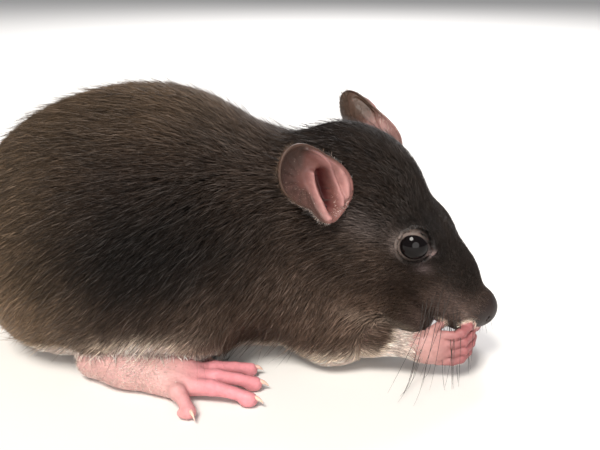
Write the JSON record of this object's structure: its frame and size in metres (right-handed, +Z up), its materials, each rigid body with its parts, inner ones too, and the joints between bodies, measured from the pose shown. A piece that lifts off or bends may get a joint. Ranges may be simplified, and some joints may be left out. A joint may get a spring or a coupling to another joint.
{
  "type": "dumbo rat",
  "caption": "Life-size still model of a crouching rat with round low-set ears, dark short coat, hands held at its mouth and a long tail lying on the floor.",
  "frame": {"origin": "middle of the belly's small flat, on the floor", "axes": "+X towards the nose, +Y to the animal's left, +Z up"},
  "size_m": [0.2699, 0.0876, 0.0626],
  "materials": {
    "coat": "short dark brown-grey fur",
    "skin": "bare pink skin",
    "ear_skin": "thin grey-pink skin",
    "tail_skin": "ringed grey-pink skin",
    "eye": "wet black"
  },
  "bodies": {
    "root": {"trunk": "coat", "neck": "coat", "head": "coat", "thigh_right": "coat", "thigh_left": "coat", "upper_arm_right": "coat", "upper_arm_left": "coat", "ear_right": "ear_skin", "ear_left": "ear_skin", "eye_right": "eye", "eye_left": "eye", "forearm_right": "skin", "forearm_left": "skin", "hand_right": "skin", "hand_left": "skin", "hind_foot_right": "skin", "hind_foot_left": "skin", "tail_1": "tail_skin", "tail_2": "tail_skin", "tail_3": "tail_skin", "tail_4": "tail_skin"}
  },
  "joints": []
}
